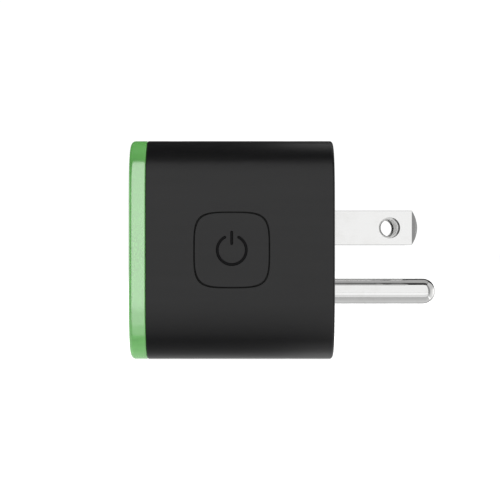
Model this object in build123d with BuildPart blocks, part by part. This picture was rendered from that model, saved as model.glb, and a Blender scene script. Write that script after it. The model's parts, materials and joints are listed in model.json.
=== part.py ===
"""Smart plug: a pass-through mains plug with a relay, a Wi-Fi board and a side button.

Millimetres. The origin is the centre of the face that meets the wall outlet. +X runs along the
blades into the wall, +Z is up (blades above, ground pin below) and -Y is the side with the button.
"""

import os

from build123d import *

os.makedirs("parts", exist_ok=True)

# ---------------------------------------------------------------- driving dimensions
# Outer shells
body_width = 60.0
body_height = 38.6
body_depth = 35.4
body_reach = 12.5  # length of each side that a corner takes up
body_round = 9.0  # radius of the round that the corner comes nearest to
bezel_depth = 2.9
bezel_rim = 4.0
wall = 2.0
rear_wall = 2.2
rear_edge = 0.45
front_edge = 0.8
seam_chamfer = 0.15
assembly_gap = 0.1

# Blades and ground pin, to the 15 A grounded plug pattern
blade_width = 6.35
blade_thickness = 1.52
blade_spacing = 12.7
blade_z = 4.1
blade_length = 16.57
blade_tip_rise = 1.04
blade_bevel_length = 1.04
blade_tip_thickness = 0.6
blade_hole_x = 11.4
blade_hole_radius = 1.6
blade_hole_chamfer = 0.36
pin_radius = 2.38
pin_length = 20.7
pin_z = blade_z - 11.89
pin_shank_radius = 2.0
pin_seat_depth = 0.3

# Power board, parallel to the wall face
board_thickness = 1.6
board_rear_x = -8.0
board_inset = wall + 0.4
post_y = 24.5
post_z = 12.5
post_radius = 2.4
screw_core_radius = 0.85
screw_clearance_radius = 1.1
screw_hole_floor = 1.0
solder_tail = 0.6

# Snap catches that hold the bezel, two on the top wall and two on the bottom wall
catch_y = 14.0
catch_half_width = 3.0
catch_gap = 0.2
catch_x = (1.0, 2.0)  # behind the seam
catch_reach = (-0.5, 0.4)  # either side of the wall's inner face

# Power button on the -Y side
button_x = -17.7
button_size = 12.8
button_gap = 0.18
button_reach = 6.2
button_depth = wall + assembly_gap
icon_ring_radius = 2.51
icon_line = 0.48
icon_opening = 48.0
icon_bar_low = 0.89
icon_bar_high = 3.28
icon_inset = 0.05

# ---------------------------------------------------------------- worked-out positions
front_x = -body_depth
seam_x = front_x + bezel_depth
board_front_x = board_rear_x - board_thickness
blade_y = blade_spacing / 2
tail_end_x = board_front_x - 0.5
socket_back_x = board_front_x - 0.7
faceplate_back_x = seam_x + 1.2


# ---------------------------------------------------------------- shared shapes
def soft_rectangle(width, height, reach, first=0.608, second=0.256):
    """Fill a rectangle whose corners turn with no jump in curvature.

    reach is how far a corner runs along each side; first and second place the curve's inner
    control points, as shares of reach measured from the sharp corner.
    """
    w, h = width / 2, height / 2
    with BuildLine() as outline:
        Line((0, h), (w - reach, h))
        Bezier(
            (w - reach, h),
            (w - first * reach, h),
            (w - second * reach, h),
            (w, h - second * reach),
            (w, h - first * reach),
            (w, h - reach),
        )
        Line((w, h - reach), (w, 0))
        mirror(about=Plane.YZ)
        mirror(about=Plane.XZ)
    make_face(outline.edges())


def body_section(inset=0.0):
    """Fill the body's cross-section, drawn in by inset all round."""
    reach = body_reach * (1 - inset / body_round)
    soft_rectangle(body_width - 2 * inset, body_height - 2 * inset, reach)


def button_section(growth=0.0):
    """Fill the button's outline, grown by growth all round."""
    size = button_size + 2 * growth
    soft_rectangle(size, size, button_reach, first=0.5, second=0.17)


def block(low, high, mode=Mode.ADD):
    """Add a box between two opposite corners."""
    centre = tuple((a + b) / 2 for a, b in zip(low, high))
    sizes = [b - a for a, b in zip(low, high)]
    with Locations(centre):
        Box(*sizes, mode=mode)


def bars_along_x(start, end, radius, *places, mode=Mode.ADD):
    """Add a round bar from start to end at each (y, z) place."""
    with BuildSketch(Plane.YZ.offset(start)) as section:
        with Locations(*places):
            Circle(radius)
    extrude(section.sketch, amount=end - start, mode=mode)


def inward(depth):
    """Give the plane at a depth behind the button's face, facing out of the body."""
    centre = (button_x, -body_width / 2 + depth, 0)
    return Plane(centre, x_dir=(1, 0, 0), z_dir=(0, -1, 0))


def strip_along_board(points, width, thickness):
    """Add a flat copper strip on the front of the power board, through (y, z) points."""
    with BuildSketch(Plane.YZ.offset(board_front_x)) as section:
        with BuildLine():
            Polyline(*points)
        trace(line_width=width)
    extrude(section.sketch, amount=-thickness)


def catch_boxes(growth=0.0):
    """List the opposite corners of each snap catch, grown by growth all round."""
    boxes = []
    wall_z = body_height / 2 - wall
    for side in (-1, 1):
        heights = [side * (wall_z + catch_reach[0] - growth), side * (wall_z + catch_reach[1] + growth)]
        for y in (-catch_y, catch_y):
            half = catch_half_width + growth
            low = (seam_x + catch_x[0] - growth, y - half, min(heights))
            high = (seam_x + catch_x[1] + growth, y + half, max(heights))
            boxes.append((low, high))
    return boxes


def export(builder, name):
    """Label a finished piece and write its STEP file."""
    builder.part.label = name
    export_step(builder.part, f"parts/{name}.step")


# ---------------------------------------------------------------- main housing
button_board_depth = 10.1
button_board_thickness = 1.2
button_post_places = [(0, -10.4), (0, 10.4)]
button_post_radius = 2.2
blade_slot_gap = 0.05

with BuildPart() as main_housing:
    with BuildSketch(Plane.YZ.offset(seam_x)):
        body_section()
    extrude(amount=-seam_x)
    fillet(main_housing.faces().sort_by(Axis.X)[-1].edges(), radius=rear_edge)
    chamfer(main_housing.faces().sort_by(Axis.X)[0].edges(), length=seam_chamfer)
    with BuildSketch(Plane.YZ.offset(seam_x)):
        body_section(wall)
    extrude(amount=-seam_x - rear_wall, mode=Mode.SUBTRACT)
    # posts for the power board, and for the button board behind the side wall
    post_places = [(y, z) for y in (-post_y, post_y) for z in (-post_z, post_z)]
    bars_along_x(board_rear_x, -rear_wall, post_radius, *post_places)
    screw_end_x = -rear_wall - screw_hole_floor
    bars_along_x(board_rear_x, screw_end_x, screw_core_radius, *post_places, mode=Mode.SUBTRACT)
    with BuildSketch(inward(button_board_depth)):
        with Locations(*button_post_places):
            Circle(button_post_radius)
    extrude(amount=button_board_depth - wall)
    with BuildSketch(inward(button_board_depth)):
        with Locations(*button_post_places):
            Circle(screw_core_radius)
    extrude(amount=button_board_depth - wall - screw_hole_floor, mode=Mode.SUBTRACT)
    # button opening
    with BuildSketch(inward(0)):
        button_section(button_gap)
    extrude(amount=-wall, mode=Mode.SUBTRACT)
    # blade slots and ground pin hole
    with BuildSketch(Plane.YZ):
        with Locations((-blade_y, blade_z), (blade_y, blade_z)):
            Rectangle(blade_thickness + 2 * blade_slot_gap, blade_width + 2 * blade_slot_gap)
        with Locations((0, pin_z)):
            Circle(pin_shank_radius + blade_slot_gap)
    extrude(amount=-rear_wall, mode=Mode.SUBTRACT)
    bars_along_x(-pin_seat_depth, 0, pin_radius + blade_slot_gap, (0, pin_z), mode=Mode.SUBTRACT)
    # pockets that the bezel's catches spring into
    for low, high in catch_boxes(catch_gap):
        block(low, high, mode=Mode.SUBTRACT)
export(main_housing, "main_housing")

# ---------------------------------------------------------------- front bezel
skirt_depth = 3.0
skirt_inset = wall + assembly_gap
skirt_wall = 1.4

with BuildPart() as front_bezel:
    with BuildSketch(Plane.YZ.offset(front_x)):
        body_section()
    extrude(amount=bezel_depth)
    fillet(front_bezel.faces().sort_by(Axis.X)[0].edges(), radius=front_edge)
    chamfer(front_bezel.faces().sort_by(Axis.X)[-1].edges(), length=seam_chamfer)
    with BuildSketch(Plane.YZ.offset(seam_x)):
        body_section(skirt_inset)
    extrude(amount=skirt_depth)
    with BuildSketch(Plane.YZ.offset(seam_x)):
        body_section(skirt_inset + skirt_wall)
    extrude(amount=skirt_depth, mode=Mode.SUBTRACT)
    with BuildSketch(Plane.YZ.offset(front_x)):
        body_section(bezel_rim)
    extrude(amount=bezel_depth, mode=Mode.SUBTRACT)
    for low, high in catch_boxes():
        block(low, high)
export(front_bezel, "front_bezel")

# ---------------------------------------------------------------- socket faceplate
line_slot = (2.0, 7.2)
neutral_slot = (2.0, 8.8)
ground_hole_radius = 2.65
faceplate_recess = 0.15
opening_lead_in = 0.35

with BuildPart() as socket_faceplate:
    with BuildSketch(Plane.YZ.offset(front_x + faceplate_recess)):
        body_section(bezel_rim + assembly_gap)
    extrude(amount=faceplate_back_x - front_x - faceplate_recess)
    with BuildSketch(Plane.YZ.offset(seam_x)):
        body_section(skirt_inset + skirt_wall + assembly_gap)
    extrude(amount=faceplate_back_x - seam_x)
    with BuildSketch(Plane.YZ.offset(front_x)):
        with Locations((-blade_y, blade_z)):
            Rectangle(*line_slot)
        with Locations((blade_y, blade_z)):
            Rectangle(*neutral_slot)
        with Locations((0, pin_z)):
            Circle(ground_hole_radius)
    extrude(amount=body_depth, mode=Mode.SUBTRACT)
    front = socket_faceplate.faces().sort_by(Axis.X)[0]
    chamfer([edge for opening in front.inner_wires() for edge in opening.edges()], length=opening_lead_in)
export(socket_faceplate, "socket_faceplate")

# ---------------------------------------------------------------- plug side
shoulder_width = 9.0
shoulder_end_x = -rear_wall - 2.2
tail_width = 3.0
carrier_front_x = board_rear_x + 0.1
strap_x = carrier_front_x + 0.8
strap_thickness = 0.8
strap_half_width = 3.5
strap_top_z = pin_z + 2.8
strap_low_z = pin_z - strap_half_width
strap_pocket_gap = 0.5
strap_tail_y = (2.2, 3.4)
carrier_plate = (26.0, 22.2)
carrier_plate_round = 3.0
carrier_plate_z = -1.2

with BuildPart() as blade_carrier:
    with BuildSketch(Plane.YZ.offset(-rear_wall)):
        with Locations((0, carrier_plate_z)):
            RectangleRounded(*carrier_plate, carrier_plate_round)
    extrude(amount=carrier_front_x + rear_wall)
    for y in (-blade_y, blade_y):
        half = blade_thickness / 2 + blade_slot_gap
        block(
            (shoulder_end_x, y - half, blade_z - shoulder_width / 2 - blade_slot_gap),
            (-rear_wall, y + half, blade_z + shoulder_width / 2 + blade_slot_gap),
            mode=Mode.SUBTRACT,
        )
        block(
            (carrier_front_x, y - half, blade_z - tail_width / 2 - blade_slot_gap),
            (-rear_wall, y + half, blade_z + tail_width / 2 + blade_slot_gap),
            mode=Mode.SUBTRACT,
        )
    bars_along_x(
        carrier_front_x, -rear_wall, pin_shank_radius + blade_slot_gap, (0, pin_z), mode=Mode.SUBTRACT
    )
    block(
        (carrier_front_x, -strap_half_width - strap_pocket_gap, strap_low_z - strap_pocket_gap),
        (strap_x + strap_thickness, strap_half_width + strap_pocket_gap, strap_top_z + strap_pocket_gap),
        mode=Mode.SUBTRACT,
    )
export(blade_carrier, "blade_carrier")


def plug_blade(y):
    """Add a blade at y: the exposed flat with its hole, the trapped shoulder and the board tail."""
    half = blade_width / 2
    corner_x = blade_length - blade_tip_rise
    with BuildSketch(Plane.XZ.offset(-y)) as outline:
        with BuildLine():
            Line((shoulder_end_x, blade_z - half), (corner_x, blade_z - half))
            ThreePointArc(
                (corner_x, blade_z - half), (blade_length, blade_z), (corner_x, blade_z + half)
            )
            Line((corner_x, blade_z + half), (shoulder_end_x, blade_z + half))
            Line((shoulder_end_x, blade_z + half), (shoulder_end_x, blade_z - half))
        make_face()
        with Locations(((shoulder_end_x - rear_wall) / 2, blade_z)):
            Rectangle(-rear_wall - shoulder_end_x, shoulder_width)
        with Locations(((shoulder_end_x + tail_end_x) / 2, blade_z)):
            Rectangle(shoulder_end_x - tail_end_x, tail_width)
    extrude(outline.sketch, amount=blade_thickness / 2, both=True)
    # bevels on both flats run out to the tip
    bevel_x = blade_length - blade_bevel_length
    with BuildSketch(Plane.XY.offset(blade_z)) as bevels:
        for side in (-1, 1):
            with BuildLine():
                Polyline(
                    (bevel_x, y + side * blade_thickness / 2),
                    (blade_length + 0.5, y + side * blade_thickness / 2),
                    (blade_length + 0.5, y + side * blade_tip_thickness / 2),
                    (blade_length, y + side * blade_tip_thickness / 2),
                    close=True,
                )
            make_face()
    extrude(bevels.sketch, amount=blade_width, both=True, mode=Mode.SUBTRACT)
    with BuildSketch(Plane.XZ.offset(-y)) as hole:
        with Locations((blade_hole_x, blade_z)):
            Circle(blade_hole_radius)
    extrude(hole.sketch, amount=blade_thickness, both=True, mode=Mode.SUBTRACT)


def chamfer_blade_hole(blade):
    """Chamfer both mouths of a blade's hole."""
    rims = blade.edges().filter_by(GeomType.CIRCLE)
    rims = rims.filter_by(lambda rim: abs(rim.radius - blade_hole_radius) < 0.01)
    chamfer(rims, length=blade_hole_chamfer)


with BuildPart() as line_blade:
    plug_blade(-blade_y)
    chamfer_blade_hole(line_blade)
export(line_blade, "line_blade")

with BuildPart() as neutral_blade:
    plug_blade(blade_y)
    chamfer_blade_hole(neutral_blade)
export(neutral_blade, "neutral_blade")

rivet_radius = 1.7
rivet_shank_radius = 1.2

with BuildPart() as ground_pin:
    with BuildSketch(Plane.XY.offset(pin_z)):
        with BuildLine():
            Polyline(
                (pin_length, 0),
                (carrier_front_x, 0),
                (carrier_front_x, rivet_radius),
                (strap_x, rivet_radius),
                (strap_x, rivet_shank_radius),
                (strap_x + strap_thickness, rivet_shank_radius),
                (strap_x + strap_thickness, pin_shank_radius),
                (0, pin_shank_radius),
                (0, pin_radius),
                (pin_length - pin_radius, pin_radius),
            )
            RadiusArc((pin_length - pin_radius, pin_radius), (pin_length, 0), pin_radius)
        make_face()
    revolve(axis=Axis((0, 0, pin_z), (1, 0, 0)))
export(ground_pin, "ground_pin")

with BuildPart() as ground_strap:
    strap_back_x = strap_x + strap_thickness
    block((strap_x, -strap_half_width, strap_low_z), (strap_back_x, strap_half_width, strap_top_z))
    block(
        (tail_end_x, strap_tail_y[0], strap_low_z),
        (strap_x, strap_tail_y[1], strap_low_z + strap_thickness),
    )
    bars_along_x(strap_x, strap_x + strap_thickness, rivet_shank_radius, (0, pin_z), mode=Mode.SUBTRACT)
export(ground_strap, "ground_strap")

# ---------------------------------------------------------------- socket side
contact_half = 1.65
contact_pinch = 0.95
contact_leaf = 0.6
contact_height = 6.5
contact_base_x = socket_back_x - 0.9
contact_tip_x = faceplate_back_x + 0.8
contact_tail_z = 2.4
ground_tail_z = pin_z - 3.5
ground_tail_half = 1.2
ground_pocket_radius = 3.2
pocket_half = (2.6, 4.5)
carrier_half_width = 11.5
carrier_round = 1.5
carrier_post_places = [(-8, -14.9), (8, -14.9)]
carrier_post_radius = 2.0
carrier_post_x = -22.0

with BuildPart() as contact_carrier:
    block((faceplate_back_x, -carrier_half_width, -13.3), (socket_back_x, carrier_half_width, 9.3))
    fillet(contact_carrier.edges().filter_by(Axis.X), radius=carrier_round)
    bars_along_x(carrier_post_x, socket_back_x, carrier_post_radius, *carrier_post_places)
    screw_end_x = carrier_post_x + 2
    bars_along_x(screw_end_x, socket_back_x, screw_core_radius, *carrier_post_places, mode=Mode.SUBTRACT)
    for y in (-blade_y, blade_y):
        block(
            (faceplate_back_x, y - pocket_half[0], blade_z - pocket_half[1]),
            (contact_base_x, y + pocket_half[0], blade_z + pocket_half[1]),
            Mode.SUBTRACT,
        )
        tail_y = y + (contact_half if y > 0 else -contact_half)
        across = contact_leaf / 2 + blade_slot_gap
        up = contact_tail_z / 2 + blade_slot_gap
        block(
            (contact_base_x, tail_y - across, blade_z - up),
            (socket_back_x, tail_y + across, blade_z + up),
            Mode.SUBTRACT,
        )
    bars_along_x(faceplate_back_x, contact_base_x, ground_pocket_radius, (0, pin_z), mode=Mode.SUBTRACT)
    block(
        (contact_base_x - 1.0, -ground_tail_half - blade_slot_gap, ground_tail_z - 0.8),
        (socket_back_x, ground_tail_half + blade_slot_gap, pin_z),
        Mode.SUBTRACT,
    )
export(contact_carrier, "contact_carrier")


def blade_contact(y):
    """Add a U-shaped spring contact at y, its leaves pinched together near the mouth."""
    outer = 1 if y > 0 else -1
    pinch_x = contact_tip_x + 3.5
    leaf_start_x = contact_base_x - contact_leaf / 2
    with BuildSketch(Plane.XY.offset(blade_z)) as leaves:
        with BuildLine():
            Polyline(
                (contact_tip_x, y - contact_half),
                (pinch_x, y - contact_pinch),
                (leaf_start_x - 4, y - contact_half),
                (leaf_start_x, y - contact_half),
                (leaf_start_x, y + contact_half),
                (leaf_start_x - 4, y + contact_half),
                (pinch_x, y + contact_pinch),
                (contact_tip_x, y + contact_half),
            )
        trace(line_width=contact_leaf)
    extrude(leaves.sketch, amount=contact_height / 2, both=True)
    tail_y = y + outer * contact_half
    block(
        (leaf_start_x, tail_y - contact_leaf / 2, blade_z - contact_tail_z / 2),
        (board_rear_x - solder_tail, tail_y + contact_leaf / 2, blade_z + contact_tail_z / 2),
    )


with BuildPart() as line_contact:
    blade_contact(-blade_y)
export(line_contact, "line_contact")

with BuildPart() as neutral_contact:
    blade_contact(blade_y)
export(neutral_contact, "neutral_contact")

with BuildPart() as ground_contact:
    sleeve_outer, sleeve_inner, slit_width, slit_length = 2.75, 2.3, 0.8, 11.0
    floor_x = contact_base_x - contact_leaf
    bars_along_x(contact_tip_x, contact_base_x, sleeve_outer, (0, pin_z))
    bars_along_x(contact_tip_x, floor_x, sleeve_inner, (0, pin_z), mode=Mode.SUBTRACT)
    for angle in (0, 90):
        with BuildSketch(Plane.YZ.offset(contact_tip_x)):
            with Locations((0, pin_z)):
                Rectangle(3 * sleeve_outer, slit_width, rotation=angle)
        extrude(amount=slit_length, mode=Mode.SUBTRACT)
    low_z, high_z = ground_tail_z - contact_leaf / 2, ground_tail_z + contact_leaf / 2
    block((floor_x, -ground_tail_half, low_z), (contact_base_x, ground_tail_half, pin_z))
    block((floor_x, -ground_tail_half, low_z), (board_rear_x - solder_tail, ground_tail_half, high_z))
export(ground_contact, "ground_contact")

# ---------------------------------------------------------------- relay
# Stands on the front of the power board. The armature rocks on the yoke's upper edge.
relay_y = 20.45
relay_seat_x = board_front_x - 0.5
relay_half = (5.25, 9.25)
relay_base_x = relay_seat_x - 1.2
relay_top_x = relay_seat_x - 15.3
coil_z = -3.2
yoke_top_x = relay_top_x + 3.1
armature_low_x = yoke_top_x - 0.2
armature_thickness = 0.9
contact_z = 6.2
contact_radius = 1.3
coil_pin_radius = 0.3
terminal_half = (1.5, 0.3)
cover_wall = 0.5
yoke_half_width = 3.8
yoke_low_z = -8.7
yoke_thickness = 1.1
yoke_floor = 1.0
core_radius = 1.5
pole_radius = 2.6
bobbin_tube_radius = 2.1
bobbin_flange = 0.8
bobbin_half = 4.2
winding_radius = 3.9

relay_terminal_places = {
    "coil": [(relay_y - 3.6, 1.8), (relay_y + 3.6, 1.8)],
    "common": (relay_y, -6.2),
    "fixed": (relay_y, 3.9),
}



def terminal(name, start, end, mode=Mode.ADD):
    """Add one of the relay's flat terminals from start to end along x."""
    y, z = relay_terminal_places[name]
    half_y, half_z = terminal_half
    block((start, y - half_y, z - half_z), (end, y + half_y, z + half_z), mode)


with BuildPart() as relay_base:
    y0, y1 = relay_y - relay_half[0], relay_y + relay_half[0]
    block((relay_base_x, y0, -relay_half[1]), (relay_seat_x, y1, relay_half[1]))
    coil_places = relay_terminal_places["coil"]
    bars_along_x(relay_base_x, relay_seat_x, coil_pin_radius, *coil_places, mode=Mode.SUBTRACT)
    for name in ("common", "fixed"):
        terminal(name, relay_base_x, relay_seat_x, Mode.SUBTRACT)
export(relay_base, "relay_base")

with BuildPart() as relay_cover:
    block((relay_top_x, y0, -relay_half[1]), (relay_base_x, y1, relay_half[1]))
    fillet(relay_cover.edges().filter_by(Axis.X), radius=0.6)
    fillet(relay_cover.faces().sort_by(Axis.X)[0].edges(), radius=0.4)
    block(
        (relay_top_x + cover_wall, y0 + cover_wall, -relay_half[1] + cover_wall),
        (relay_base_x, y1 - cover_wall, relay_half[1] - cover_wall),
        mode=Mode.SUBTRACT,
    )
export(relay_cover, "relay_cover")

with BuildPart() as relay_yoke:
    left, right = relay_y - yoke_half_width, relay_y + yoke_half_width
    yoke_floor_x = relay_base_x - yoke_floor
    block((yoke_top_x, left, yoke_low_z), (relay_base_x, right, yoke_low_z + yoke_thickness))
    block((yoke_floor_x, left, yoke_low_z), (relay_base_x, right, 0.6))
    bars_along_x(yoke_floor_x, relay_base_x, core_radius, (relay_y, coil_z), mode=Mode.SUBTRACT)
export(relay_yoke, "relay_yoke")

bobbin_low_x = relay_base_x - yoke_floor
bobbin_top_x = yoke_top_x + 1.2

with BuildPart() as relay_core:
    bars_along_x(bobbin_top_x, relay_base_x, core_radius, (relay_y, coil_z))
    bars_along_x(yoke_top_x + 0.4, bobbin_top_x, pole_radius, (relay_y, coil_z))
export(relay_core, "relay_core")

with BuildPart() as relay_bobbin:
    for start in (bobbin_top_x, bobbin_low_x - bobbin_flange):
        block(
            (start, relay_y - bobbin_half, coil_z - bobbin_half),
            (start + bobbin_flange, relay_y + bobbin_half, coil_z + bobbin_half),
        )
    bars_along_x(bobbin_top_x, bobbin_low_x, bobbin_tube_radius, (relay_y, coil_z))
    bars_along_x(bobbin_top_x, bobbin_low_x, core_radius, (relay_y, coil_z), mode=Mode.SUBTRACT)
export(relay_bobbin, "relay_bobbin")

with BuildPart() as relay_winding:
    start, end = bobbin_top_x + bobbin_flange, bobbin_low_x - bobbin_flange
    bars_along_x(start, end, winding_radius, (relay_y, coil_z))
    bars_along_x(start, end, bobbin_tube_radius, (relay_y, coil_z), mode=Mode.SUBTRACT)
export(relay_winding, "relay_winding")

with BuildPart() as relay_coil_pins:
    bars_along_x(relay_base_x - 2.5, board_rear_x + solder_tail, coil_pin_radius, *coil_places)
export(relay_coil_pins, "relay_coil_pins")

with BuildPart() as relay_common_terminal:
    terminal("common", relay_base_x, board_rear_x + solder_tail)
export(relay_common_terminal, "relay_common_terminal")

moving_contact_x = armature_low_x - 0.1
fixed_contact_x = armature_low_x + 1.15

with BuildPart() as relay_fixed_contact:
    y, z = relay_terminal_places["fixed"]
    shelf_x = fixed_contact_x + 0.45
    terminal("fixed", shelf_x, board_rear_x + solder_tail)
    block((shelf_x, y - 1.9, z - terminal_half[1]), (shelf_x + 0.5, y + 1.9, contact_z + 1.6))
    bars_along_x(fixed_contact_x, shelf_x, contact_radius, (relay_y, contact_z))
export(relay_fixed_contact, "relay_fixed_contact")

with BuildPart() as relay_armature:
    armature_top_x = armature_low_x - armature_thickness
    block((armature_top_x, left, yoke_low_z + 0.1), (armature_low_x, right, 1.0))
export(relay_armature, "relay_armature")

with BuildPart() as relay_contact_spring:
    block((armature_top_x - 0.25, relay_y - 2.4, -4.5), (armature_top_x, relay_y + 2.4, contact_z + 1.5))
    bars_along_x(armature_top_x, moving_contact_x, contact_radius, (relay_y, contact_z))
export(relay_contact_spring, "relay_contact_spring")

# ---------------------------------------------------------------- power board
header_pin = 0.5
strip_width = 2.2
strip_thickness = 0.4
capacitor_z = 13.3
input_capacitor_y = (-9.2, -2.2)
output_capacitor_y = 4.4
inductor_place = (11.0, 13.2)
lead_offset = 1.0
lead_radius = 0.3

capacitor_leads = [
    (y + side * lead_offset, capacitor_z)
    for y in (*input_capacitor_y, output_capacitor_y)
    for side in (-1, 1)
]
inductor_leads = [(inductor_place[0] + side * 1.5, inductor_place[1]) for side in (-1, 1)]
can_length = 11.0
can_seat_gap = 0.3
resistor_z = 13.2
resistor_radius = 1.6
resistor_start_y = 15.3
resistor_length = 5.6
resistor_leads = [(14.6, resistor_z), (21.6, resistor_z)]
varistor_centre = (board_front_x - 5.0, 19.0, -13.4)
varistor_leads = [(varistor_centre[1] + side * 2.5, varistor_centre[2]) for side in (-1, 1)]
radio_y = -14.2
radio_pins = [(radio_y + 0.25, -7 + 2 * step) for step in range(8)]
button_pins = [(-body_width / 2 + button_board_depth - 1.3, -3 + 2 * step) for step in range(4)]

with BuildPart() as main_board:
    with BuildSketch(Plane.YZ.offset(board_front_x)):
        body_section(board_inset)
    extrude(amount=board_thickness)
    screw_places = post_places + carrier_post_places
    bars_along_x(board_front_x, board_rear_x, screw_clearance_radius, *screw_places, mode=Mode.SUBTRACT)
    leads = capacitor_leads + inductor_leads + resistor_leads + varistor_leads
    leads += relay_terminal_places["coil"]
    bars_along_x(board_front_x, board_rear_x, lead_radius, *leads, mode=Mode.SUBTRACT)
    openings = [(y, blade_z, blade_thickness, tail_width) for y in (-blade_y, blade_y)]
    openings += [
        (side * (blade_y + contact_half), blade_z, contact_leaf, contact_tail_z) for side in (-1, 1)
    ]
    strap_middle_y = sum(strap_tail_y) / 2
    strap_tail_width = strap_tail_y[1] - strap_tail_y[0]
    strap_middle_z = strap_low_z + strap_thickness / 2
    openings.append((0, ground_tail_z, 2 * ground_tail_half, contact_leaf))
    openings.append((strap_middle_y, strap_middle_z, strap_tail_width, strap_thickness))
    terminal_size = [2 * half for half in terminal_half]
    openings += [(*relay_terminal_places[name], *terminal_size) for name in ("common", "fixed")]
    openings += [(y, z, header_pin, header_pin) for y, z in radio_pins + button_pins]
    for y, z, across, up in openings:
        block(
            (board_front_x, y - across / 2, z - up / 2),
            (board_rear_x, y + across / 2, z + up / 2),
            mode=Mode.SUBTRACT,
        )
export(main_board, "main_board")

with BuildPart() as line_busbar:
    route = [(-blade_y, 2.55), (-blade_y, -1.6), (relay_y, -1.6), (relay_y, -5.85)]
    strip_along_board(route, strip_width, strip_thickness)
export(line_busbar, "line_busbar")

with BuildPart() as load_busbar:
    route = [(relay_y, 4.25), (relay_y, 7.6), (-8.3, 7.6), (-8.3, 5.35)]
    strip_along_board(route, strip_width, strip_thickness)
export(load_busbar, "load_busbar")

with BuildPart() as neutral_busbar:
    strip_along_board([(5.2, 1.4), (9.2, 1.4)], 2.0, strip_thickness)
export(neutral_busbar, "neutral_busbar")


def can_capacitors(places, radius):
    """Add wound capacitors standing on the board, each a rounded can with two leads."""
    seat_x = board_front_x - can_seat_gap
    with BuildSketch(Plane.YZ.offset(seat_x)) as section:
        with Locations(*places):
            Circle(radius)
    cans = extrude(section.sketch, amount=-can_length)
    fillet(cans.edges().group_by(Axis.X)[0], radius=0.5)
    leads = [(y + side * lead_offset, z) for y, z in places for side in (-1, 1)]
    bars_along_x(seat_x, board_rear_x + solder_tail, lead_radius, *leads)


with BuildPart() as input_capacitors:
    can_capacitors([(y, capacitor_z) for y in input_capacitor_y], radius=3.15)
export(input_capacitors, "input_capacitors")

with BuildPart() as output_capacitor:
    can_capacitors([(output_capacitor_y, capacitor_z)], radius=2.5)
export(output_capacitor, "output_capacitor")

with BuildPart() as inductor:
    drum_x = board_front_x - can_seat_gap
    drum_length, flange, flange_radius, wound_radius = 8.0, 1.0, 2.9, 2.5
    bars_along_x(drum_x - drum_length, drum_x - drum_length + flange, flange_radius, inductor_place)
    bars_along_x(drum_x - drum_length + flange, drum_x - flange, wound_radius, inductor_place)
    bars_along_x(drum_x - flange, drum_x, flange_radius, inductor_place)
    bars_along_x(drum_x, board_rear_x + solder_tail, lead_radius, *inductor_leads)
export(inductor, "inductor")

with BuildPart() as fuse_resistor:
    lead_x = board_front_x - 2.2
    with BuildSketch(Plane.XZ.offset(-resistor_start_y)):
        with Locations((lead_x, resistor_z)):
            Circle(resistor_radius)
    extrude(amount=-resistor_length)
    fillet(fuse_resistor.edges().filter_by(GeomType.CIRCLE), radius=0.4)
    for y in (resistor_leads[0][0], resistor_leads[1][0]):
        toward = 1 if y < 18 else -1
        with BuildLine() as lead_path:
            FilletPolyline(
                (board_rear_x + solder_tail, y, resistor_z),
                (lead_x, y, resistor_z),
                (lead_x, y + toward * 1.4, resistor_z),
                radius=0.5,
            )
        with BuildSketch(Plane(lead_path.line @ 0, z_dir=lead_path.line % 0)):
            Circle(lead_radius)
        sweep(path=lead_path)
export(fuse_resistor, "fuse_resistor")

with BuildPart() as varistor:
    disc_radius, disc_thickness = 3.5, 3.2
    with BuildSketch(Plane.XY.offset(varistor_centre[2] - disc_thickness / 2)):
        with Locations(varistor_centre[:2]):
            Circle(disc_radius)
    extrude(amount=disc_thickness)
    fillet(varistor.edges().filter_by(GeomType.CIRCLE), radius=1.0)
    bars_along_x(varistor_centre[0], board_rear_x + solder_tail, lead_radius, *varistor_leads)
export(varistor, "varistor")


def surface_chip(low, high, leg_count):
    """Add a moulded chip on the rear of the board, with gull-wing feet along its two long sides."""
    foot_length, foot_half_width, foot_thickness = 0.9, 0.2, 0.2
    block(low, high)
    pitch = (high[2] - low[2]) / leg_count
    for y0, y1 in ((low[1] - foot_length, low[1]), (high[1], high[1] + foot_length)):
        for step in range(leg_count):
            z = low[2] + pitch * (step + 0.5)
            foot_low = (board_rear_x, y0, z - foot_half_width)
            block(foot_low, (board_rear_x + foot_thickness, y1, z + foot_half_width))


with BuildPart() as bridge_rectifier:
    surface_chip((board_rear_x, -22.4, 6.0), (board_rear_x + 2.4, -17.9, 10.6), leg_count=2)
export(bridge_rectifier, "bridge_rectifier")

with BuildPart() as converter_chip:
    surface_chip((board_rear_x, -22.1, -10.4), (board_rear_x + 1.5, -18.2, -5.5), leg_count=4)
export(converter_chip, "converter_chip")


def pan_head_screws(head_plane, places, head_radius, thread_length):
    """Add cross-recess screws whose heads stand out of head_plane along its normal."""
    head_height = 1.2
    recess_length, recess_width, recess_depth = 2.0, 0.4, 0.6
    outward = Axis(head_plane.origin, head_plane.z_dir)
    with BuildSketch(head_plane) as head:
        with Locations(*places):
            Circle(head_radius)
    heads = extrude(head.sketch, amount=head_height)
    fillet(heads.faces().group_by(outward)[-1].edges(), radius=0.5)
    with BuildSketch(head_plane) as shank:
        with Locations(*places):
            Circle(screw_core_radius)
    extrude(shank.sketch, amount=-thread_length)
    with BuildSketch(head_plane.offset(head_height)) as recess:
        with Locations(*places):
            Rectangle(recess_length, recess_width)
            Rectangle(recess_width, recess_length)
    extrude(recess.sketch, amount=-recess_depth, mode=Mode.SUBTRACT)


with BuildPart() as board_screws:
    front_facing = Plane((board_front_x, 0, 0), x_dir=(0, -1, 0), z_dir=(-1, 0, 0))
    places = [(-y, z) for y, z in post_places]
    pan_head_screws(front_facing, places, head_radius=1.9, thread_length=6.0)
export(board_screws, "board_screws")

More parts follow.
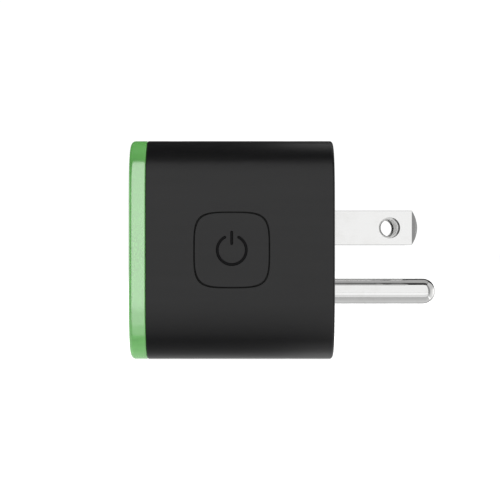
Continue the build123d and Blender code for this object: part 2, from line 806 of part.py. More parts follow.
with BuildPart() as socket_screws:
    rear_facing = Plane.YZ.offset(board_rear_x)
    pan_head_screws(rear_facing, carrier_post_places, head_radius=1.8, thread_length=8.0)
export(socket_screws, "socket_screws")

# ---------------------------------------------------------------- power button
button_flange_depth = 0.8
button_flange_growth = 0.9
stem_end = 4.9


def power_symbol():
    """Fill the power symbol: a ring open at the top, and a bar through the opening."""
    half = icon_line / 2
    end = Vector(0, icon_ring_radius).rotate(Axis.Z, icon_opening / 2)
    Circle(icon_ring_radius + half)
    Circle(icon_ring_radius - half, mode=Mode.SUBTRACT)
    Polygon((0, 0), (2 * end.X, 2 * end.Y), (-2 * end.X, 2 * end.Y), align=None, mode=Mode.SUBTRACT)
    with Locations((end.X, end.Y), (-end.X, end.Y)):
        Circle(half)
    with Locations((0, (icon_bar_low + icon_bar_high) / 2)):
        SlotOverall(icon_bar_high - icon_bar_low, icon_line, rotation=90)


icon_seat = 0.7

with BuildPart() as power_button:
    with BuildSketch(inward(0)):
        button_section()
    extrude(amount=-button_depth)
    fillet(power_button.faces().sort_by(Axis.Y)[0].edges(), radius=0.15)
    with BuildSketch(inward(button_depth)):
        button_section(button_flange_growth)
    extrude(amount=-button_flange_depth)
    with BuildSketch(inward(button_depth + button_flange_depth)):
        Circle(1.7)
    extrude(amount=-(stem_end - button_depth - button_flange_depth))
    with BuildSketch(inward(0)):
        power_symbol()
    extrude(amount=-icon_seat, mode=Mode.SUBTRACT)
export(power_button, "power_button")

with BuildPart() as power_symbol_inlay:
    with BuildSketch(inward(icon_inset)):
        power_symbol()
    extrude(amount=-(icon_seat - icon_inset))
export(power_symbol_inlay, "power_symbol_inlay")

# ---------------------------------------------------------------- switch under the button
switch_half = 3.0
plunger_top = stem_end + 0.1
cover_top = 6.4
base_top = 6.7

with BuildPart() as switch_base:
    with BuildSketch(inward(button_board_depth)):
        Rectangle(2 * switch_half, 2 * switch_half)
    extrude(amount=button_board_depth - base_top)
    with BuildSketch(inward(base_top)):
        Circle(2.4)
    extrude(amount=-1.9, mode=Mode.SUBTRACT)
export(switch_base, "switch_base")

with BuildPart() as switch_frame:
    with BuildSketch(inward(base_top)):
        Rectangle(2 * switch_half, 2 * switch_half)
        Circle(1.9, mode=Mode.SUBTRACT)
    extrude(amount=base_top - cover_top)
    for side in (-1, 1):
        with BuildSketch(inward(cover_top)):
            with Locations((side * (switch_half + 0.125), 0)):
                Rectangle(0.25, 2.4)
        extrude(amount=-(button_board_depth - cover_top))
export(switch_frame, "switch_frame")

with BuildPart() as switch_plunger:
    for start, end, radius in ((plunger_top, 7.2, 1.7), (6.8, 7.2, 2.2), (7.2, 8.0, 0.8)):
        with BuildSketch(inward(start)):
            Circle(radius)
        extrude(amount=-(end - start))
export(switch_plunger, "switch_plunger")

with BuildPart() as switch_dome:
    dome_top, dome_curve, dome_sheet, dome_sweep = 8.15, 6.5, 0.1, 18.5
    centre = (button_x, -body_width / 2 + dome_top + dome_curve)
    with BuildSketch(Plane.XY):
        with BuildLine():
            outer = CenterArc(centre, dome_curve, -90, dome_sweep)
            inner = CenterArc(centre, dome_curve - dome_sheet, -90, dome_sweep)
            Line(outer @ 0, inner @ 0)
            Line(outer @ 1, inner @ 1)
        make_face()
    revolve(axis=Axis((button_x, 0, 0), (0, 1, 0)))
export(switch_dome, "switch_dome")

led_place = (4.8, 4.8)
led_base, led_base_height = (2.0, 1.25), 0.35
led_lens, led_lens_height = (1.2, 1.25), 0.45

with BuildPart() as status_led:
    with BuildSketch(inward(button_board_depth)):
        with Locations(led_place):
            Rectangle(*led_base)
    extrude(amount=led_base_height)
    with BuildSketch(inward(button_board_depth - led_base_height)):
        with Locations(led_place):
            Rectangle(*led_lens)
    extrude(amount=led_lens_height)
export(status_led, "status_led")

header_x = board_front_x - 2.7

with BuildPart() as button_board:
    with BuildSketch(inward(button_board_depth)):
        with Locations((-0.6, 0)):
            RectangleRounded(15.0, 25.2, 1.5)
        with Locations(*button_post_places):
            Circle(screw_clearance_radius, mode=Mode.SUBTRACT)
        with Locations(*[(header_x - button_x, z) for y, z in button_pins]):
            Rectangle(header_pin, header_pin, mode=Mode.SUBTRACT)
    extrude(amount=-button_board_thickness)
export(button_board, "button_board")

with BuildPart() as button_board_screws:
    rear_side = Plane(
        (button_x, -body_width / 2 + button_board_depth + button_board_thickness, 0),
        x_dir=(-1, 0, 0),
        z_dir=(0, 1, 0),
    )
    pan_head_screws(rear_side, button_post_places, head_radius=1.7, thread_length=6.0)
export(button_board_screws, "button_board_screws")

with BuildPart() as button_header:
    pin_y = button_pins[0][0]
    board_back_y = -body_width / 2 + button_board_depth + button_board_thickness
    half = header_pin / 2
    for y, z in button_pins:
        corner = (header_x - half, pin_y - half, z - half)
        block(corner, (board_rear_x + solder_tail, pin_y + half, z + half))
        block(corner, (header_x + half, board_back_y + 0.5, z + half))
export(button_header, "button_header")

# ---------------------------------------------------------------- radio
radio_front_x = -29.0
radio_rear_x = board_front_x - 0.8
radio_thickness = 0.8

with BuildPart() as wifi_board:
    block((radio_front_x, radio_y - radio_thickness, -8.5), (radio_rear_x, radio_y, 8.5))
export(wifi_board, "wifi_board")

with BuildPart() as rf_shield:
    shield_y = radio_y - radio_thickness
    shield_x, shield_half_z, shield_height, shield_wall = (-25.5, -13.5), 6.5, 2.2, 0.3
    block((shield_x[0], shield_y - shield_height, -shield_half_z), (shield_x[1], shield_y, shield_half_z))
    fillet(rf_shield.edges().filter_by(Axis.Y), radius=0.6)
    block(
        (shield_x[0] + shield_wall, shield_y - shield_height + shield_wall, -shield_half_z + shield_wall),
        (shield_x[1] - shield_wall, shield_y, shield_half_z - shield_wall),
        mode=Mode.SUBTRACT,
    )
export(rf_shield, "rf_shield")

with BuildPart() as radio_header:
    for y, z in radio_pins:
        low = (radio_rear_x - 3.0, radio_y, z - header_pin / 2)
        block(low, (board_rear_x + solder_tail, radio_y + header_pin, z + header_pin / 2))
export(radio_header, "radio_header")
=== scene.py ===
"""Looks of the smart plug: plated blades and pin, button, wound parts, finishes and a plain studio."""

import json
import logging
import math
from collections.abc import Iterable
from dataclasses import dataclass
from enum import Enum

import bmesh
import bpy
from mathutils import Matrix, Vector


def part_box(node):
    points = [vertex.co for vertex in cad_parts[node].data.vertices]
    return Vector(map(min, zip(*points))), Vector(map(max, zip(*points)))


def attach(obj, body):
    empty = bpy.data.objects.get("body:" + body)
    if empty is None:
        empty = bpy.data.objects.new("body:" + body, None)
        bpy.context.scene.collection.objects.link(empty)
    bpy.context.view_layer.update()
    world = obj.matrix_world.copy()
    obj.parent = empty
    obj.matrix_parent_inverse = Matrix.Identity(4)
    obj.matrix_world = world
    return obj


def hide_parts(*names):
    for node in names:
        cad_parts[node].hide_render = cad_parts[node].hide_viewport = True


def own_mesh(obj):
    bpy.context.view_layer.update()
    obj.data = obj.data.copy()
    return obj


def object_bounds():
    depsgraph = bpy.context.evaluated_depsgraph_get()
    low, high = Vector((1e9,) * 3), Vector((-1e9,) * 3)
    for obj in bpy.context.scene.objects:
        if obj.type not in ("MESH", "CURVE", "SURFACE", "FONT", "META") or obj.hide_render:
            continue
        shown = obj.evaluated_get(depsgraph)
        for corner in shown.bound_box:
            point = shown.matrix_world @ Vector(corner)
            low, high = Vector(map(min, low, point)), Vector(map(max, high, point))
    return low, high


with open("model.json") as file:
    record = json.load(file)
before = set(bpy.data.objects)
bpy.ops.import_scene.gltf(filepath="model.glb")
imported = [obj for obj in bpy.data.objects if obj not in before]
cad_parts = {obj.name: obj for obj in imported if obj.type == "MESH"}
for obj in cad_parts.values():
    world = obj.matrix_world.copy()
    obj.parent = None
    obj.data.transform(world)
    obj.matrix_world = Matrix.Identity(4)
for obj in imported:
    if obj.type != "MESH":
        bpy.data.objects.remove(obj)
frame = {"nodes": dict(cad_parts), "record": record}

MM = 0.001
Point = tuple[float, float]
Colour = tuple[float, float, float]
Levels = tuple[tuple[float, float], ...]
PATTERN_RANGE = (0.3, 0.7)
MOTTLE_RANGE = (0.35, 0.65)
CREASE_ANGLE = math.radians(20)
QUARTER_TURN = Matrix.Rotation(math.pi / 2, 4, "Z")
log = logging.getLogger("smart_plug")
cad_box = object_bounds()


class Body(Enum):
    """The CAD bodies that pieces ride on."""

    PLUG = "plug_body"
    BUTTON = "power_button"


class Lay(Enum):
    """Which way a surface's fine marks run, as a squeeze of the pattern along x, y and z."""

    EVEN = (1.0, 1.0, 1.0)
    ALONG_X = (0.06, 1.0, 1.0)
    ALONG_Y = (1.0, 0.06, 1.0)


# ---------------------------------------------------------------- finishes
class Bench:
    """Where one material is mixed: adds shader nodes and joins them up."""

    def __init__(self, name: str) -> None:
        """Start a material with a principled shader joined to its output.

        Args:
            name: The finish's name.
        """
        self.material = bpy.data.materials.new(name)
        self.material.use_nodes = True
        self.tree = self.material.node_tree
        self.tree.nodes.clear()
        self.shader = self.add("ShaderNodeBsdfPrincipled")
        output = self.add("ShaderNodeOutputMaterial")
        self.join(self.shader.outputs["BSDF"], output.inputs["Surface"])
        self.place = self.add("ShaderNodeTexCoord").outputs["Object"]

    def add(self, kind: str) -> bpy.types.Node:
        """Add a node of this kind and return it."""
        return self.tree.nodes.new(kind)

    def join(self, source: bpy.types.NodeSocket, target: bpy.types.NodeSocket) -> None:
        """Link an output to an input."""
        self.tree.links.new(source, target)

    def coat(self, colour: Colour, roughness: float, **settings: float) -> None:
        """Set the shader's own sockets.

        Args:
            colour: Base colour.
            roughness: Roughness.
            settings: More sockets by name, with an underscore for each space.
        """
        self.shader.inputs["Base Color"].default_value = (*colour, 1.0)
        self.shader.inputs["Roughness"].default_value = roughness
        for socket, value in settings.items():
            self.shader.inputs[socket.replace("_", " ")].default_value = value

    def noise(self, size: float, lay: Lay = Lay.EVEN, detail: float = 3.0) -> bpy.types.NodeSocket:
        """Add a noise pattern.

        Args:
            size: Size of its features, in metres.
            lay: Which way they are drawn out.
            detail: How much finer structure they carry.

        Returns:
            The pattern's height, from 0 to 1.
        """
        squeeze = self.add("ShaderNodeMapping")
        squeeze.inputs["Scale"].default_value = lay.value
        self.join(self.place, squeeze.inputs["Vector"])
        noise = self.add("ShaderNodeTexNoise")
        noise.inputs["Scale"].default_value = 1 / size
        noise.inputs["Detail"].default_value = detail
        self.join(squeeze.outputs["Vector"], noise.inputs["Vector"])
        return noise.outputs["Fac"]

    def spread(self, source: bpy.types.NodeSocket, low: float, high: float) -> bpy.types.NodeSocket:
        """Stretch a noise pattern's middle range to run from low to high.

        Args:
            source: The pattern.
            low: Value where the pattern is lowest.
            high: Value where it is highest.

        Returns:
            The stretched value.
        """
        ranger = self.add("ShaderNodeMapRange")
        ranger.inputs["From Min"].default_value = PATTERN_RANGE[0]
        ranger.inputs["From Max"].default_value = PATTERN_RANGE[1]
        ranger.inputs["To Min"].default_value = low
        ranger.inputs["To Max"].default_value = high
        self.join(source, ranger.inputs["Value"])
        return ranger.outputs["Result"]

    def tint(
        self, source: bpy.types.NodeSocket, stops: Iterable[tuple[float, Colour]], sharp: bool = False
    ) -> bpy.types.NodeSocket:
        """Turn a pattern into colours.

        Args:
            source: The pattern, from 0 to 1.
            stops: Places along it with their colours, in order.
            sharp: True where a colour holds until the next stop.

        Returns:
            The colour.
        """
        ramp = self.add("ShaderNodeValToRGB")
        ramp.color_ramp.interpolation = "CONSTANT" if sharp else "LINEAR"
        elements = ramp.color_ramp.elements
        stops = list(stops)
        while len(elements) < len(stops):
            elements.new(1.0)
        for element, (place, colour) in zip(elements, stops):
            element.position = place
            element.color = (*colour, 1.0)
        self.join(source, ramp.inputs["Fac"])
        return ramp.outputs["Color"]

    def paint(self, colour: bpy.types.NodeSocket) -> None:
        """Give the shader this colour."""
        self.join(colour, self.shader.inputs["Base Color"])

    def mottle(self, colour: Colour, size: float, share: float) -> None:
        """Vary the base colour in soft patches.

        Args:
            colour: Middle colour.
            size: Size of the patches, in metres.
            share: How far it varies, as a share of itself.
        """
        dark = tuple(c * (1 - share) for c in colour)
        light = tuple(min(1.0, c * (1 + share)) for c in colour)
        self.paint(self.tint(self.noise(size), zip(MOTTLE_RANGE, (dark, light))))

    def vary_roughness(self, roughness: float, share: float, size: float, lay: Lay = Lay.EVEN) -> None:
        """Vary the roughness in soft patches.

        Args:
            roughness: Middle roughness.
            share: How far it varies, as a share of itself.
            size: Size of the patches, in metres.
            lay: Which way they are drawn out.
        """
        pattern = self.spread(self.noise(size, lay), roughness * (1 - share), roughness * (1 + share))
        self.join(pattern, self.shader.inputs["Roughness"])

    def emboss(self, height: bpy.types.NodeSocket, depth: float) -> None:
        """Raise the surface by a pattern, on top of any earlier one.

        Args:
            height: The pattern, from 0 to 1.
            depth: Height of its highest places, in metres.
        """
        bump = self.add("ShaderNodeBump")
        bump.inputs["Distance"].default_value = depth
        bump.inputs["Strength"].default_value = 1.0
        self.join(height, bump.inputs["Height"])
        normal = self.shader.inputs["Normal"]
        if normal.is_linked:
            self.join(normal.links[0].from_socket, bump.inputs["Normal"])
        self.join(bump.outputs["Normal"], normal)


@dataclass(frozen=True)
class MouldedPlastic:
    """Plastic from a mould: even colour with faint flow marks, and a fine eroded or polished skin."""

    colour: Colour
    roughness: float
    grain: float = 0.16 * MM
    grain_depth: float = 0.0016 * MM
    patch: float = 7 * MM
    mottling: float = 0.06
    shine_patch: float = 1.4 * MM
    shine_share: float = 0.08
    refraction: float = 1.5
    specular: float = 0.5
    lay: Lay = Lay.EVEN

    def make(self, name: str) -> bpy.types.Material:
        """Mix the material.

        Args:
            name: The material's name.

        Returns:
            The material.
        """
        bench = Bench(name)
        bench.coat(self.colour, self.roughness, IOR=self.refraction, Specular_IOR_Level=self.specular)
        bench.mottle(self.colour, self.patch, self.mottling)
        bench.vary_roughness(self.roughness, self.shine_share, self.shine_patch, self.lay)
        bench.emboss(bench.noise(self.grain, self.lay), self.grain_depth)
        return bench.material


@dataclass(frozen=True)
class PlatedMetal:
    """Plated or bare metal: polishing marks along its lay, and patches where the shine is duller."""

    colour: Colour
    roughness: float
    tarnish: Colour
    lay: Lay = Lay.ALONG_X
    mark: float = 0.09 * MM
    mark_depth: float = 0.0004 * MM
    patch: float = 3.2 * MM
    tarnish_edge: Point = (0.5, 0.85)
    shine_patch: float = 0.5 * MM
    shine_share: float = 0.15

    def make(self, name: str) -> bpy.types.Material:
        """Mix the material.

        Args:
            name: The material's name.

        Returns:
            The material.
        """
        bench = Bench(name)
        bench.coat(self.colour, self.roughness, Metallic=1.0)
        stops = zip(self.tarnish_edge, (self.colour, self.tarnish))
        bench.paint(bench.tint(bench.noise(self.patch), stops))
        bench.vary_roughness(self.roughness, self.shine_share, self.shine_patch, self.lay)
        bench.emboss(bench.noise(self.mark, self.lay, detail=2.0), self.mark_depth)
        return bench.material


@dataclass(frozen=True)
class SolderMask:
    """A circuit board's lacquer: glossy, lighter where it lies over copper tracks."""

    colour: Colour
    track_colour: Colour
    track_pitch: float = 1.9 * MM
    track_height: float = 0.015 * MM
    track_edge: Point = (0.3, 0.36)
    unevenness: float = 0.6
    roughness: float = 0.28
    shine_patch: float = 0.6 * MM
    shine_share: float = 0.12

    def make(self, name: str) -> bpy.types.Material:
        """Mix the material.

        Args:
            name: The material's name.

        Returns:
            The material.
        """
        bench = Bench(name)
        bench.coat(self.colour, self.roughness)
        cells = bench.add("ShaderNodeTexVoronoi")
        cells.distance = "MANHATTAN"
        cells.inputs["Scale"].default_value = 1 / self.track_pitch
        cells.inputs["Randomness"].default_value = self.unevenness
        bench.join(bench.place, cells.inputs["Vector"])
        tracks = cells.outputs["Distance"]
        bench.paint(bench.tint(tracks, zip(self.track_edge, (self.track_colour, self.colour))))
        bench.vary_roughness(self.roughness, self.shine_share, self.shine_patch)
        bench.emboss(bench.spread(tracks, 1.0, 0.0), self.track_height)
        return bench.material


@dataclass(frozen=True)
class EnamelledWire:
    """Copper wire under a clear lacquer, in close turns round an axis along x."""

    colour: Colour
    turn_pitch: float
    turn_height: float = 0.04 * MM
    unevenness: float = 0.15
    patch: float = 0.8 * MM
    mottling: float = 0.18
    roughness: float = 0.32

    def make(self, name: str) -> bpy.types.Material:
        """Mix the material.

        Args:
            name: The material's name.

        Returns:
            The material.
        """
        bench = Bench(name)
        bench.coat(self.colour, self.roughness, Metallic=0.85, Coat_Weight=0.6, Coat_Roughness=0.15)
        bench.mottle(self.colour, self.patch, self.mottling)
        turns = bench.add("ShaderNodeTexWave")
        turns.bands_direction = "X"
        turns.inputs["Scale"].default_value = math.pi / 10 / self.turn_pitch
        turns.inputs["Distortion"].default_value = self.unevenness
        bench.join(bench.place, turns.inputs["Vector"])
        bench.emboss(turns.outputs["Fac"], self.turn_height)
        return bench.material


@dataclass(frozen=True)
class BandedLacquer:
    """A lacquered resistor body with colour bands across its length, which runs along y."""

    colour: Colour
    bands: tuple[Colour, ...]
    node: str
    roughness: float = 0.35
    shine_patch: float = 0.7 * MM
    shine_share: float = 0.15
    grain: float = 0.5 * MM
    grain_depth: float = 0.01 * MM
    first_band: float = 0.24
    band_width: float = 0.07

    def make(self, name: str) -> bpy.types.Material:
        """Mix the material.

        Args:
            name: The material's name.

        Returns:
            The material.
        """
        bench = Bench(name)
        bench.coat(self.colour, self.roughness)
        low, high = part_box(self.node)
        along = bench.add("ShaderNodeSeparateXYZ")
        bench.join(bench.place, along.inputs["Vector"])
        share = bench.add("ShaderNodeMapRange")
        share.inputs["From Min"].default_value = low.y
        share.inputs["From Max"].default_value = high.y
        bench.join(along.outputs["Y"], share.inputs["Value"])
        stops = [(0.0, self.colour)]
        for step, band in enumerate(self.bands):
            start = self.first_band + step * 2 * self.band_width
            stops += [(start, band), (start + self.band_width, self.colour)]
        bench.paint(bench.tint(share.outputs["Result"], stops, sharp=True))
        bench.vary_roughness(self.roughness, self.shine_share, self.shine_patch)
        bench.emboss(bench.noise(self.grain), self.grain_depth)
        return bench.material


Finish = MouldedPlastic | PlatedMetal | SolderMask | EnamelledWire | BandedLacquer
BLACK = (0.0022, 0.0022, 0.0025)
WIRE_PITCH = 0.2 * MM
FINISHES: dict[str, Finish] = {
    "housing_black": MouldedPlastic(BLACK, 0.36, specular=0.47, lay=Lay.ALONG_X),
    "faceplate_black": MouldedPlastic((0.0055, 0.0055, 0.006), 0.42, grain_depth=0.003 * MM),
    "button_black": MouldedPlastic(BLACK, 0.36, specular=0.47, lay=Lay.ALONG_X),
    "symbol_smoke": MouldedPlastic((0.0025, 0.0025, 0.003), 0.4, grain_depth=0.0004 * MM, specular=0.12),
    "bezel_green": MouldedPlastic(
        (0.113, 0.41, 0.085), 0.17, grain_depth=0.0002 * MM, mottling=0.02, refraction=2.35, specular=1.0
    ),
    "blade_nickel": PlatedMetal((0.82, 0.82, 0.815), 0.14, (0.76, 0.755, 0.74)),
    "pin_nickel": PlatedMetal((0.8, 0.8, 0.795), 0.07, (0.74, 0.735, 0.72)),
    "carrier_nylon": MouldedPlastic((0.62, 0.6, 0.55), 0.5, grain_depth=0.004 * MM),
    "contact_brass": PlatedMetal((0.78, 0.58, 0.28), 0.24, (0.6, 0.4, 0.2), mark=0.06 * MM),
    "copper": PlatedMetal((0.8, 0.43, 0.28), 0.26, (0.5, 0.25, 0.16), lay=Lay.ALONG_Y),
    "board_green": SolderMask((0.012, 0.11, 0.04), (0.03, 0.2, 0.07)),
    "radio_board_blue": SolderMask((0.01, 0.04, 0.16), (0.02, 0.08, 0.26), track_pitch=1.2 * MM),
    "relay_case": MouldedPlastic((0.015, 0.04, 0.16), 0.24, grain_depth=0.001 * MM),
    "relay_base": MouldedPlastic((0.02, 0.02, 0.022), 0.4),
    "bobbin_white": MouldedPlastic((0.75, 0.74, 0.7), 0.45),
    "winding_copper": EnamelledWire((0.62, 0.24, 0.09), WIRE_PITCH),
    "soft_iron": PlatedMetal((0.56, 0.56, 0.57), 0.32, (0.42, 0.41, 0.4), lay=Lay.EVEN),
    "contact_silver": PlatedMetal((0.86, 0.84, 0.8), 0.2, (0.66, 0.62, 0.56), lay=Lay.EVEN),
    "capacitor_sleeve": MouldedPlastic((0.012, 0.014, 0.025), 0.22, grain=0.5 * MM, lay=Lay.ALONG_X),
    "ferrite": MouldedPlastic((0.04, 0.04, 0.043), 0.6, grain=0.1 * MM, grain_depth=0.012 * MM),
    "resistor_body": BandedLacquer(
        (0.2, 0.36, 0.45), ((0.5, 0.2, 0.03), (0.01, 0.01, 0.01), (0.02, 0.02, 0.02), (0.6, 0.42, 0.1)),
        "fuse_resistor",
    ),
    "varistor_blue": MouldedPlastic((0.02, 0.1, 0.42), 0.3, grain=0.6 * MM, grain_depth=0.02 * MM),
    "chip_black": MouldedPlastic((0.02, 0.02, 0.02), 0.5, grain=0.05 * MM, grain_depth=0.004 * MM),
    "screw_steel": PlatedMetal((0.58, 0.58, 0.6), 0.28, (0.48, 0.45, 0.36), lay=Lay.EVEN),
    "tinned_steel": PlatedMetal((0.7, 0.7, 0.68), 0.3, (0.55, 0.55, 0.53), lay=Lay.EVEN),
    "switch_black": MouldedPlastic((0.02, 0.02, 0.02), 0.4),
    "dome_steel": PlatedMetal((0.72, 0.71, 0.69), 0.16, (0.6, 0.59, 0.56), lay=Lay.EVEN),
    "led_white": MouldedPlastic((0.82, 0.82, 0.72), 0.15, grain_depth=0.0002 * MM),
}


@dataclass
class PaintShop:
    """Holds the finishes that have been mixed, and dresses pieces and CAD nodes in them."""

    mixed: dict[str, bpy.types.Material]

    def finish(self, slot: str) -> bpy.types.Material:
        """Return a slot's material, mixed the first time that it's asked for.

        Args:
            slot: The slot's name in the record.

        Returns:
            The material.
        """
        if slot not in self.mixed:
            self.mixed[slot] = FINISHES[slot].make(slot)
        return self.mixed[slot]

    def dress(self, piece: bpy.types.Object, slot: str) -> None:
        """Give a piece one finish all over."""
        piece.data.materials.clear()
        piece.data.materials.append(self.finish(slot))

    def dress_cad_nodes(self) -> None:
        """Give each CAD node the finish of its slot in the record."""
        for row in frame["record"]["subparts"]:
            node = frame["nodes"][row["node"]]
            self.dress(node, row["material_slot"])


# ---------------------------------------------------------------- making meshes
def piece_from(name: str, mesh: bmesh.types.BMesh) -> bpy.types.Object:
    """Turn a mesh in the row frame into an object.

    Args:
        name: The piece's name.
        mesh: The mesh, which is used up.

    Returns:
        The new object.
    """
    bmesh.ops.recalc_face_normals(mesh, faces=mesh.faces)
    data = bpy.data.meshes.new(name)
    mesh.to_mesh(data)
    mesh.free()
    piece = bpy.data.objects.new(name, data)
    bpy.context.scene.collection.objects.link(piece)
    return piece


def crease(piece: bpy.types.Object) -> None:
    """Shade a piece smoothly, with its flats true and a crease at each sharp edge.

    Args:
        piece: The piece, with its shape final.
    """
    mesh = bmesh.new()
    mesh.from_mesh(piece.data)
    for edge in mesh.edges:
        edge.smooth = len(edge.link_faces) == 2 and edge.calc_face_angle(0) < CREASE_ANGLE
    for face in mesh.faces:
        face.smooth = True
    mesh.to_mesh(piece.data)
    mesh.free()
    weighted = piece.modifiers.new("true_flats", "WEIGHTED_NORMAL")
    weighted.keep_sharp = True
    weighted.weight = 100


def loft(mesh: bmesh.types.BMesh, rings: list[list[Vector]]) -> None:
    """Skin closed rings of equal length one after another, and close both ends.

    Args:
        mesh: The mesh to add to.
        rings: The rings, from one end to the other.
    """
    loops = [[mesh.verts.new(point) for point in ring] for ring in rings]
    for lower, upper in zip(loops, loops[1:]):
        for i, vert in enumerate(lower):
            j = (i + 1) % len(lower)
            mesh.faces.new((vert, lower[j], upper[j], upper[i]))
    mesh.faces.new(loops[0])
    mesh.faces.new(reversed(loops[-1]))


def lathe(mesh: bmesh.types.BMesh, profile: list[Point], y: float, z: float, segments: int = 48) -> None:
    """Turn a profile about a line along x, closed where its radius is 0.

    Args:
        mesh: The mesh to add to.
        profile: Points of (x, radius).
        y: Place of the line across.
        z: Height of the line.
        segments: Facets round it.
    """
    rings = []
    for x, radius in profile:
        if radius == 0:
            rings.append([mesh.verts.new((x, y, z))])
            continue
        turns = (math.tau * i / segments for i in range(segments))
        spokes = ((y + radius * math.cos(a), z + radius * math.sin(a)) for a in turns)
        rings.append([mesh.verts.new((x, *spoke)) for spoke in spokes])
    for lower, upper in zip(rings, rings[1:]):
        for i in range(segments):
            j = (i + 1) % segments
            corners = [lower[i % len(lower)], lower[j % len(lower)]]
            corners += [upper[j % len(upper)], upper[i % len(upper)]]
            mesh.faces.new(list(dict.fromkeys(corners)))


def cut(piece: bpy.types.Object, cutter: bpy.types.Object) -> None:
    """Take a cutter's space out of a piece.

    Args:
        piece: The piece to cut.
        cutter: The space to take out, which is then deleted.
    """
    modifier = piece.modifiers.new("cut", "BOOLEAN")
    modifier.operation = "DIFFERENCE"
    modifier.solver = "EXACT"
    modifier.object = cutter
    bpy.context.view_layer.update()
    result = bpy.data.meshes.new_from_object(piece.evaluated_get(bpy.context.evaluated_depsgraph_get()))
    piece.modifiers.clear()
    piece.data = result
    bpy.data.objects.remove(cutter)


def fit(piece: bpy.types.Object, shop: PaintShop, body: Body, nodes: Iterable[str], slot: str) -> None:
    """Dress a piece, let it ride on its body, and let it stand for CAD nodes.

    Args:
        piece: The piece, with its shape final.
        shop: Where its finish comes from.
        body: The body that it rides on.
        nodes: The CAD nodes that it stands for.
        slot: The slot of its finish.
    """
    crease(piece)
    shop.dress(piece, slot)
    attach(piece, body.value)
    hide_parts(*nodes)
    log.info("%s: %d faces", piece.name, len(piece.data.polygons))


def rounded_bar(half_width: float, half_height: float, radius: float, steps: int = 6) -> list[Point]:
    """Draw a rectangle with small rounded corners, anticlockwise.

    Args:
        half_width: Half its width.
        half_height: Half its height.
        radius: Radius of its corners.
        steps: Facets round each corner.

    Returns:
        Its outline.
    """
    points = []
    for corner, (side, up) in enumerate(((1, 1), (-1, 1), (-1, -1), (1, -1))):
        for step in range(steps + 1):
            angle = math.pi / 2 * (corner + step / steps)
            across = side * (half_width - radius) + radius * math.cos(angle)
            points.append((across, up * (half_height - radius) + radius * math.sin(angle)))
    return points


def squircle(half: float, reach: float, first: float, second: float, steps: int = 20) -> list[Point]:
    """Draw a square whose corners are quintic curves, anticlockwise.

    Args:
        half: Half the square's side.
        reach: Length of each side that a corner takes up.
        first: Place of the curve's first inner control point, as a share of reach from the corner.
        second: Place of its second inner control point.
        steps: Points along each corner.

    Returns:
        Its outline.
    """
    a, b, c = half - reach, half - first * reach, half - second * reach
    controls = [(half, a), (half, b), (half, c), (c, half), (b, half), (a, half)]
    degree = len(controls) - 1
    points = []
    for quarter in range(4):
        turn = Matrix.Rotation(quarter * math.pi / 2, 2)
        for step in range(steps + 1):
            t = step / steps
            weights = [
                math.comb(degree, i) * (1 - t) ** (degree - i) * t**i for i in range(degree + 1)
            ]
            point = sum((w * Vector(p) for w, p in zip(weights, controls)), Vector((0, 0)))
            points.append(tuple(turn @ point))
    return points


